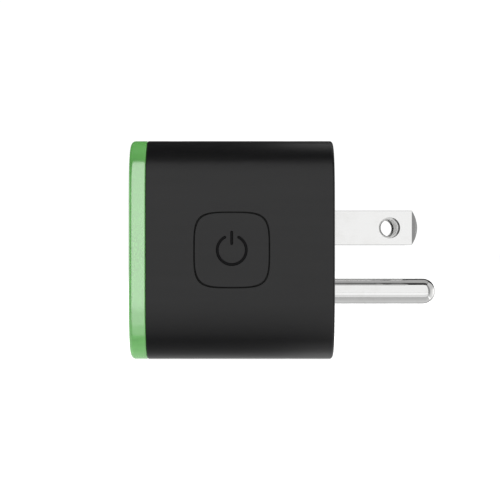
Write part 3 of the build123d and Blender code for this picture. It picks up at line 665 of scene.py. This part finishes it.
# ---------------------------------------------------------------- sub-assemblies
@dataclass
class PlugBlades:
    """The two flat blades, with eased edges, a bevelled tip and a chamfered detent hole.

    An eased edge takes up at most edge_limit of half the blade's thickness or height.
    """

    edge: float = 0.11 * MM
    edge_limit: float = 0.9
    flat_end: float = 15.53 * MM
    bevel: float = 1.04 * MM
    tip_thickness: float = 0.6 * MM
    shoulder_height: float = 9.0 * MM
    shoulder_end: float = -4.4 * MM
    tail_height: float = 3.0 * MM
    wall_back: float = -2.2 * MM
    hole_x: float = 11.4 * MM
    hole_radius: float = 1.6 * MM
    hole_chamfer: float = 0.36 * MM
    blade_height: float = 6.35 * MM
    step: float = 0.05 * MM
    tip_steps: int = 24
    tip_point: float = 0.02 * MM
    hole_facets: int = 72

    def section(self, x: float, y: float, z: float, half_thick: float, half_high: float) -> list[Vector]:
        """Draw the blade's outline across x.

        Args:
            x: Place along the blade.
            y: Place of the blade's middle across.
            z: Height of its middle.
            half_thick: Half its thickness here.
            half_high: Half its height here.

        Returns:
            The outline's points.
        """
        radius = min(self.edge, self.edge_limit * half_high, self.edge_limit * half_thick)
        outline = rounded_bar(half_thick, half_high, radius)
        return [Vector((x, y + across, z + up)) for across, up in outline]

    def blank(self, name: str, node: str) -> bpy.types.Object:
        """Shape a blade before its hole is punched.

        Args:
            name: The piece's name.
            node: The CAD node that it stands for.

        Returns:
            The blade.
        """
        low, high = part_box(node)
        y, z, half_thick = (low.y + high.y) / 2, (low.z + high.z) / 2, (high.y - low.y) / 2
        half = self.blade_height / 2
        stations = [
            (low.x, self.tail_height / 2),
            (self.shoulder_end, self.tail_height / 2),
            (self.shoulder_end + self.step, self.shoulder_height / 2),
            (self.wall_back - self.step, self.shoulder_height / 2),
            (self.wall_back, half),
            (self.flat_end, half),
        ]
        rings = [self.section(x, y, z, half_thick, tall) for x, tall in stations]
        rise = high.x - self.flat_end
        radius = (half**2 + rise**2) / (2 * rise)
        centre = high.x - radius
        start = math.asin(half / radius)
        bevel_x = high.x - self.bevel
        for step in range(1, self.tip_steps):
            angle = start * (1 - step / self.tip_steps)
            x = centre + radius * math.cos(angle)
            share = max(0.0, (x - bevel_x) / self.bevel)
            thick = half_thick + (self.tip_thickness / 2 - half_thick) * share
            rings.append(self.section(x, y, z, thick, radius * math.sin(angle)))
        rings.append(self.section(high.x, y, z, self.tip_thickness / 2, self.tip_point))
        mesh = bmesh.new()
        loft(mesh, rings)
        return piece_from(name, mesh)

    def punch(self, blade: bpy.types.Object, node: str) -> None:
        """Cut the detent hole, with a chamfer at each mouth.

        Args:
            blade: The blade.
            node: The CAD node that it stands for.
        """
        low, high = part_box(node)
        y, z, half = (low.y + high.y) / 2, (low.z + high.z) / 2, (high.y - low.y) / 2
        wide = self.hole_radius + self.hole_chamfer
        outside = half + self.hole_chamfer
        profile = [
            (-outside, 0),
            (-outside, wide + self.hole_chamfer),
            (-half, wide),
            (-half + self.hole_chamfer, self.hole_radius),
            (half - self.hole_chamfer, self.hole_radius),
            (half, wide),
            (outside, wide + self.hole_chamfer),
            (outside, 0),
        ]
        mesh = bmesh.new()
        lathe(mesh, profile, 0, 0, segments=self.hole_facets)
        turn = Matrix.Translation((self.hole_x, y, z)) @ QUARTER_TURN
        mesh.transform(turn)
        cut(blade, piece_from("punch", mesh))

    def build(self, shop: PaintShop) -> None:
        """Make and dress both blades.

        Args:
            shop: Where the finishes come from.
        """
        for node in ("line_blade", "neutral_blade"):
            blade = self.blank(node + "_plated", node)
            self.punch(blade, node)
            fit(blade, shop, Body.PLUG, [node], "blade_nickel")


@dataclass
class GroundPin:
    """The round ground pin: a shank with a domed end, and a tail riveted over its strap."""

    neck_radius: float = 2.0 * MM
    rivet_shank_radius: float = 1.2 * MM
    rivet_radius: float = 1.7 * MM
    rivet_height: float = 0.8 * MM
    strap_thickness: float = 0.8 * MM
    dome_steps: int = 20
    facets: int = 96

    def build(self, shop: PaintShop) -> None:
        """Make and dress the pin.

        Args:
            shop: Where the finishes come from.
        """
        low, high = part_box("ground_pin")
        radius = (high.z - low.z) / 2
        strap = low.x + self.rivet_height
        neck = strap + self.strap_thickness
        profile = [
            (low.x, 0),
            (low.x, self.rivet_radius),
            (strap, self.rivet_radius),
            (strap, self.rivet_shank_radius),
            (neck, self.rivet_shank_radius),
            (neck, self.neck_radius),
            (0, self.neck_radius),
            (0, radius),
        ]
        for step in range(self.dome_steps):
            angle = math.pi / 2 * step / self.dome_steps
            profile.append((high.x - radius * (1 - math.sin(angle)), radius * math.cos(angle)))
        profile.append((high.x, 0))
        mesh = bmesh.new()
        lathe(mesh, profile, (low.y + high.y) / 2, (low.z + high.z) / 2, segments=self.facets)
        fit(piece_from("ground_pin_plated", mesh), shop, Body.PLUG, ["ground_pin"], "pin_nickel")


@dataclass
class PowerButton:
    """The button cap with its soft lip and flange, and the smoked symbol set into its face."""

    reach: float = 6.2 * MM
    first: float = 0.5
    second: float = 0.17
    cap_depth: float = 2.1 * MM
    flange_growth: float = 0.9 * MM
    flange_depth: float = 0.8 * MM
    stem_radius: float = 1.7 * MM
    lip: float = 0.13 * MM
    lip_steps: int = 6
    ring_radius: float = 2.49 * MM
    line: float = 0.43 * MM
    opening: float = math.radians(57)
    bar_low: float = 0.89 * MM
    bar_high: float = 3.28 * MM
    groove_depth: float = 0.7 * MM
    groove_lip: float = 0.03 * MM
    symbol_inset: float = 0.12 * MM
    symbol_ease: float = 0.05 * MM
    symbol_crown: float = 0.08 * MM
    fit_gap: float = 0.01 * MM
    root: float = 0.1 * MM
    cutter_reach: float = 0.3 * MM
    ring_steps: int = 72
    end_steps: int = 10

    def __post_init__(self) -> None:
        """Take the cap's middle, face and half size from the frame."""
        low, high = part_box("power_button")
        self.x, self.z = (low.x + high.x) / 2, (low.z + high.z) / 2
        self.face_y, self.stem_y = low.y, high.y
        self.half = (high.x - low.x) / 2 - self.flange_growth

    def at(self, outline: Iterable[Point], depth: float) -> list[Vector]:
        """Lay an outline at a depth behind the face."""
        return [Vector((self.x + across, self.face_y + depth, self.z + up)) for across, up in outline]

    def ring(self, growth: float, depth: float) -> list[Vector]:
        """Return the cap's outline, grown all round, at a depth."""
        return self.at(squircle(self.half + growth, self.reach, self.first, self.second), depth)

    def symbol_outlines(self, spread: float) -> list[list[Point]]:
        """Draw the symbol's two closed outlines.

        Args:
            spread: How far the outlines are moved outward.

        Returns:
            The open ring, then its bar.
        """
        half = self.line / 2 + spread
        start, sweep = math.pi / 2 + self.opening / 2, math.tau - self.opening
        ring: list[Point] = []
        for radius, order in ((self.ring_radius + half, 1), (self.ring_radius - half, -1)):
            angles = [start + sweep * i / self.ring_steps for i in range(self.ring_steps + 1)][::order]
            ring += [(radius * math.cos(a), radius * math.sin(a)) for a in angles]
            end = angles[-1]
            middle = (self.ring_radius * math.cos(end), self.ring_radius * math.sin(end))
            first = end if order == 1 else end + math.pi
            for i in range(1, self.end_steps):
                turn = first + math.pi * i / self.end_steps
                ring.append((middle[0] + half * math.cos(turn), middle[1] + half * math.sin(turn)))
        bar: list[Point] = []
        for height, first in ((self.bar_high - self.line / 2, 0.0), (self.bar_low + self.line / 2, math.pi)):
            turns = [first + math.pi * i / self.end_steps for i in range(self.end_steps + 1)]
            bar += [(half * math.cos(a), height + half * math.sin(a)) for a in turns]
        return [ring, bar]

    def symbol_block(self, name: str, levels: list[tuple[float, float]]) -> bpy.types.Object:
        """Shape the symbol as two solid bars.

        Args:
            name: The piece's name.
            levels: How far the outline is spread at each depth, as (spread, depth).

        Returns:
            The bars.
        """
        mesh = bmesh.new()
        outlines = [self.symbol_outlines(spread) for spread, depth in levels]
        for part in range(2):
            loft(mesh, [self.at(outline[part], depth) for outline, (spread, depth) in zip(outlines, levels)])
        return piece_from(name, mesh)

    def cap(self) -> bpy.types.Object:
        """Shape the cap with its lip, flange and stem, and cut the symbol's groove in its face.

        Returns:
            The cap.
        """
        rings = []
        for step in range(self.lip_steps + 1):
            angle = math.pi / 2 * step / self.lip_steps
            rings.append(self.ring(self.lip * (math.sin(angle) - 1), self.lip * (1 - math.cos(angle))))
        rings += [
            self.ring(0, self.cap_depth),
            self.ring(self.flange_growth, self.cap_depth),
            self.ring(self.flange_growth, self.cap_depth + self.flange_depth),
        ]
        mesh = bmesh.new()
        loft(mesh, rings)
        back = self.cap_depth + self.flange_depth
        tip = self.stem_y - self.face_y
        start, radius = back - self.root, self.stem_radius
        stem = [(start, 0), (start, radius), (tip, radius), (tip, 0)]
        post = bmesh.new()
        lathe(post, stem, 0, 0)
        place = Matrix.Translation((self.x, self.face_y, self.z))
        post.transform(place @ QUARTER_TURN)
        spare = bpy.data.meshes.new("stem")
        post.to_mesh(spare)
        post.free()
        mesh.from_mesh(spare)
        bpy.data.meshes.remove(spare)
        cap = piece_from("power_button_cap", mesh)
        levels = [
            (self.groove_lip, -self.cutter_reach),
            (self.groove_lip, 0),
            (0, self.groove_lip),
            (0, self.groove_depth),
        ]
        cut(cap, self.symbol_block("groove", levels))
        return cap

    def build(self, shop: PaintShop) -> None:
        """Make and dress the cap and the symbol.

        Args:
            shop: Where the finishes come from.
        """
        fit(self.cap(), shop, Body.BUTTON, ["power_button"], "button_black")
        levels = [
            (-self.symbol_crown, self.symbol_inset),
            (-self.fit_gap, self.symbol_inset + self.symbol_ease),
            (-self.fit_gap, self.groove_depth - self.fit_gap),
        ]
        symbol = self.symbol_block("power_symbol_light_guide", levels)
        fit(symbol, shop, Body.BUTTON, ["power_symbol_inlay"], "symbol_smoke")


@dataclass
class SnapDome:
    """The sprung steel dome under the plunger. The real one flattens as the button is pressed; this one
    rides on the plug body and keeps its shape.
    """

    curve: float = 6.5 * MM
    sheet: float = 0.1 * MM
    steps: int = 14
    pressed_share: float = 0.5

    def build(self, shop: PaintShop) -> None:
        """Make and dress the dome, and let it ride on the plug body.

        Args:
            shop: Where the finishes come from.
        """
        low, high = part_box("switch_dome")
        x, z = (low.x + high.x) / 2, (low.z + high.z) / 2
        sweep = math.asin((high.x - low.x) / 2 / self.curve)
        angles = [sweep * step / self.steps for step in range(self.steps + 1)]
        inner = self.curve - self.sheet
        profile = [(self.curve * (1 - math.cos(a)), self.curve * math.sin(a)) for a in angles]
        profile += [(self.curve - inner * math.cos(a), inner * math.sin(a)) for a in reversed(angles)]
        mesh = bmesh.new()
        lathe(mesh, profile, 0, 0)
        mesh.transform(Matrix.Translation((x, low.y, z)) @ QUARTER_TURN)
        dome = piece_from("switch_snap_dome", mesh)
        fit(dome, shop, Body.PLUG, ["switch_dome"], "dome_steel")
        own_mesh(dome)


@dataclass
class RelayCoil:
    """The relay's winding: a core of buried turns with one layer of wire wound round it.

    The core's surface lies below the wire's crests by burial times the wire's radius.
    """

    wire_radius: float = 0.095 * MM
    points_a_turn: int = 28
    wire_sides: int = 6
    bobbin_radius: float = 2.12 * MM
    burial: float = 1.6

    def build(self, shop: PaintShop) -> None:
        """Wind and dress the coil.

        Args:
            shop: Where the finishes come from.
        """
        low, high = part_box("relay_winding")
        y, z, outer = (low.y + high.y) / 2, (low.z + high.z) / 2, (high.y - low.y) / 2
        buried = outer - self.burial * self.wire_radius
        inner = self.bobbin_radius
        mesh = bmesh.new()
        profile = [(low.x, inner), (low.x, buried), (high.x, buried), (high.x, inner)]
        lathe(mesh, profile + profile[:1], y, z)
        turns = int((high.x - low.x - 2 * self.wire_radius) / WIRE_PITCH)
        rings = []
        for i in range(turns * self.points_a_turn + 1):
            angle = math.tau * i / self.points_a_turn
            x = low.x + self.wire_radius + WIRE_PITCH * i / self.points_a_turn
            ring = []
            for side in range(self.wire_sides):
                turn = math.tau * side / self.wire_sides
                radius = outer - self.wire_radius * (1 - math.cos(turn))
                across, up = y + radius * math.cos(angle), z + radius * math.sin(angle)
                ring.append(Vector((x + self.wire_radius * math.sin(turn), across, up)))
            rings.append(ring)
        loft(mesh, rings)
        coil = piece_from("relay_wire_turns", mesh)
        fit(coil, shop, Body.PLUG, ["relay_winding"], "winding_copper")


@dataclass
class CanCapacitors:
    """Wound capacitors in a shrunk sleeve, with a crimped neck, a dished top and two leads."""

    can_length: float = 11.0 * MM
    lead_radius: float = 0.3 * MM
    lead_offset: float = 1.0 * MM
    crimp_depth: float = 0.25 * MM
    crimp_width: float = 1.2 * MM
    crimp_height: float = 1.6 * MM
    roll: float = 0.5 * MM
    dish: float = 0.12 * MM
    dish_edge: float = 1.1
    roll_steps: int = 5
    crimp_steps: int = 8
    root: float = 0.1 * MM
    lead_facets: int = 12

    def can(self, mesh: bmesh.types.BMesh, ends: Point, y: float, z: float, radius: float) -> None:
        """Add one can with its leads.

        Args:
            mesh: The mesh to add to.
            ends: Places along x of its top and of its leads' tips.
            y: Place of its axis across.
            z: Height of its axis.
            radius: Its radius.
        """
        top, tip = ends
        seat = top + self.can_length
        profile = [(top + self.dish, 0), (top + self.dish, radius - self.dish_edge * self.roll)]
        for step in range(self.roll_steps + 1):
            angle = math.pi / 2 * (1 - step / self.roll_steps)
            along, inward = self.roll * (1 - math.sin(angle)), self.roll * (1 - math.cos(angle))
            profile.append((top + along, radius - inward))
        neck = seat - self.crimp_height
        for step in range(self.crimp_steps + 1):
            share = step / self.crimp_steps
            dip = self.crimp_depth * math.sin(math.pi * share) ** 2
            profile.append((neck + (share - 0.5) * self.crimp_width, radius - dip))
        profile += [(seat, radius), (seat, 0)]
        lathe(mesh, profile, y, z)
        for side in (-1, 1):
            root = seat - self.root
            lead = [(root, 0), (root, self.lead_radius), (tip, self.lead_radius), (tip, 0)]
            lathe(mesh, lead, y + side * self.lead_offset, z, segments=self.lead_facets)

    def build(self, shop: PaintShop) -> None:
        """Make and dress the input pair and the output capacitor.

        Args:
            shop: Where the finishes come from.
        """
        low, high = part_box("input_capacitors")
        radius = (high.z - low.z) / 2
        pair = bmesh.new()
        for y in (low.y + radius, high.y - radius):
            self.can(pair, (low.x, high.x), y, (low.z + high.z) / 2, radius)
        cans = piece_from("input_capacitor_cans", pair)
        fit(cans, shop, Body.PLUG, ["input_capacitors"], "capacitor_sleeve")
        low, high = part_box("output_capacitor")
        one = bmesh.new()
        middle = (low + high) / 2
        self.can(one, (low.x, high.x), middle.y, middle.z, (high.z - low.z) / 2)
        can = piece_from("output_capacitor_can", one)
        fit(can, shop, Body.PLUG, ["output_capacitor"], "capacitor_sleeve")


# ---------------------------------------------------------------- studio
@dataclass(frozen=True)
class Softbox:
    """A large soft light that faces the plug and isn't seen directly."""

    name: str
    place: tuple[float, float, float]
    width: float
    height: float
    radiance: float
    target: tuple[float, float, float] = (0.0, 0.0, 0.0)
    reflects: bool = True

    def hang(self) -> None:
        """Hang the light."""
        lamp = bpy.data.lights.new(self.name, "AREA")
        lamp.shape = "RECTANGLE"
        lamp.size, lamp.size_y = self.width, self.height
        lamp.energy = self.radiance * math.pi * self.width * self.height
        light = bpy.data.objects.new(self.name, lamp)
        bpy.context.scene.collection.objects.link(light)
        light.location = self.place
        light.rotation_euler = (Vector(self.target) - Vector(self.place)).to_track_quat("-Z", "Y").to_euler()
        light.visible_camera = False
        light.visible_glossy = self.reflects
        log.info("%s hung", self.name)


PRONG_CARDS = (
    Softbox("prong_top_card", (0.0375, 0.035, 0.09), 0.085, 0.09, 0.4, (0.0375, 0.035, 0.0)),
    Softbox("prong_bounce_card", (0.0375, 0.0, -0.06), 0.085, 0.076, 0.4, (0.0375, 0.0, 0.0)),
    Softbox("prong_front_card", (0.044, -0.0505, -0.0402), 0.08, 0.045, 0.42, (0.044, 0.0, -0.0078)),
    Softbox("prong_near_side_card", (0.06, -0.0315, 0.0), 0.021, 0.11, 0.25, (0.0, -0.0315, 0.0)),
    Softbox("prong_far_side_card", (0.06, 0.0035, 0.0), 0.049, 0.11, 0.62, (0.0, 0.0035, 0.0)),
)
OVERHEAD_FILL = Softbox(
    "overhead_fill", (-0.02, 0.19, 0.5), 0.6, 0.44, 5.6, (-0.02, 0.19, 0.0), reflects=False
)


@dataclass
class Studio:
    """A pale floor, soft lights, a white surround and the camera.

    In reflections the surround is ambient from low to high, plus a bright horizon that is
    strongest behind the plug. Each is a row of (place from -1 to 1, brightness).
    """

    camera_x: float = -0.01714
    camera_distance: float = 0.317
    lens: float = 120.75
    shift: float = 0.03
    floor_half: float = 12.0
    floor_glow: float = 0.98
    floor_albedo: float = 0.6
    floor_roughness: float = 0.9
    floor_patch: float = 0.2
    floor_mottling: float = 0.01
    front_distance: float = 0.8
    front_width: float = 1.7
    front_steps: tuple[tuple[str, float, float, float], ...] = (
        ("front_softbox", 60, -11, 1.0),
        ("front_lower_panel", -11, -32, 0.64),
        ("front_floor_panel", -32, -54, 0.34),
    )
    surround_glow: float = 1.05
    horizon: Levels = ((-0.95, 0.25), (-0.5, 0.5), (-0.15, 1.0), (0.1, 1.0), (0.3, 0.0))
    behind: Levels = ((-0.3, 0.0), (0.7, 1.0))
    ambient: Levels = ((-1.0, 0.2), (-0.75, 0.18), (-0.4, 0.1), (0.4, 0.05), (1.0, 0.08))

    def lay_floor(self) -> None:
        """Lay the floor that the plug rests on."""
        height = cad_box[0].z
        mesh = bmesh.new()
        half = self.floor_half
        corners = ((-half, -half), (half, -half), (half, half), (-half, half))
        mesh.faces.new([mesh.verts.new((x, y, height)) for x, y in corners])
        floor = piece_from("floor", mesh)
        bench = Bench("floor_paper")
        grey = (self.floor_albedo,) * 3
        bench.coat(grey, self.floor_roughness, Specular_IOR_Level=0.0, Emission_Strength=self.floor_glow)
        bench.shader.inputs["Emission Color"].default_value = (1, 1, 1, 1)
        bench.mottle(grey, self.floor_patch, self.floor_mottling)
        floor.data.materials.append(bench.material)
        floor.visible_glossy = False
        floor.visible_shadow = False

    def hang_lights(self) -> None:
        """Hang the soft lights."""
        for box in (*self.front_panels(), *PRONG_CARDS, OVERHEAD_FILL):
            box.hang()

    def front_panels(self) -> list[Softbox]:
        """Build the front softbox, which dims toward the floor.

        Returns:
            Its panels, from the top down.
        """
        panels = []
        for name, high, low, radiance in self.front_steps:
            top, bottom = (self.front_distance * math.tan(math.radians(angle)) for angle in (high, low))
            middle = (top + bottom) / 2
            facing = (0.0, 0.0, middle)
            place = (0.0, -self.front_distance, middle)
            panels.append(Softbox(name, place, self.front_width, top - bottom, radiance, facing))
        return panels

    def surround(self) -> None:
        """Make the surround white to the eye, and dim with a bright rear horizon in reflections."""
        world = bpy.data.worlds.new("surround")
        world.use_nodes = True
        tree = world.node_tree
        tree.nodes.clear()
        output = tree.nodes.new("ShaderNodeOutputWorld")
        seen = tree.nodes.new("ShaderNodeBackground")
        seen.inputs["Color"].default_value = (1, 1, 1, 1)
        seen.inputs["Strength"].default_value = self.surround_glow
        cast = tree.nodes.new("ShaderNodeBackground")
        direction = tree.nodes.new("ShaderNodeTexCoord")
        parts = tree.nodes.new("ShaderNodeSeparateXYZ")
        tree.links.new(direction.outputs["Generated"], parts.inputs["Vector"])

        def profile(axis: str, levels: Levels) -> bpy.types.NodeSocket:
            """Make a brightness that changes along one axis.

            Args:
                axis: The axis.
                levels: Places from -1 to 1 with their brightness.

            Returns:
                The brightness.
            """
            share = tree.nodes.new("ShaderNodeMapRange")
            share.inputs["From Min"].default_value = -1.0
            tree.links.new(parts.outputs[axis], share.inputs["Value"])
            ramp = tree.nodes.new("ShaderNodeValToRGB")
            elements = ramp.color_ramp.elements
            while len(elements) < len(levels):
                elements.new(1.0)
            for element, (place, level) in zip(elements, levels):
                element.position = place / 2 + 0.5
                element.color = (level, level, level, 1.0)
            tree.links.new(share.outputs["Result"], ramp.inputs["Fac"])
            return ramp.outputs["Color"]

        def combine(
            operation: str, first: bpy.types.NodeSocket, second: bpy.types.NodeSocket
        ) -> bpy.types.NodeSocket:
            """Put two brightnesses together.

            Args:
                operation: How they are put together.
                first: One brightness.
                second: The other.

            Returns:
                The result.
            """
            maths = tree.nodes.new("ShaderNodeMath")
            maths.operation = operation
            tree.links.new(first, maths.inputs[0])
            tree.links.new(second, maths.inputs[1])
            return maths.outputs["Value"]

        glow = combine("MULTIPLY", profile("Z", self.horizon), profile("Y", self.behind))
        tree.links.new(combine("ADD", profile("Z", self.ambient), glow), cast.inputs["Strength"])
        path = tree.nodes.new("ShaderNodeLightPath")
        blend = tree.nodes.new("ShaderNodeMixShader")
        tree.links.new(path.outputs["Is Camera Ray"], blend.inputs["Fac"])
        tree.links.new(cast.outputs["Background"], blend.inputs[1])
        tree.links.new(seen.outputs["Background"], blend.inputs[2])
        tree.links.new(blend.outputs["Shader"], output.inputs["Surface"])
        bpy.context.scene.world = world

    def place_camera(self) -> None:
        """Stand the camera level with the plug, facing the button's side."""
        data = bpy.data.cameras.new("camera")
        data.lens = self.lens
        data.shift_x = self.shift
        camera = bpy.data.objects.new("camera", data)
        bpy.context.scene.collection.objects.link(camera)
        camera.location = (self.camera_x, -self.camera_distance, 0.0)
        camera.rotation_euler = (math.pi / 2, 0, 0)
        bpy.context.scene.camera = camera

    def build(self) -> None:
        """Set up everything round the plug."""
        bpy.context.scene.view_settings.view_transform = "Standard"
        self.place_camera()
        self.lay_floor()
        self.hang_lights()
        self.surround()


def main() -> None:
    """Build the studio and dress the plug."""
    logging.basicConfig(level=logging.INFO, format="%(name)s: %(message)s")
    Studio().build()
    shop = PaintShop({})
    shop.dress_cad_nodes()
    for assembly in (PlugBlades(), GroundPin(), PowerButton(), SnapDome(), RelayCoil(), CanCapacitors()):
        assembly.build(shop)


if __name__ == "__main__":
    main()
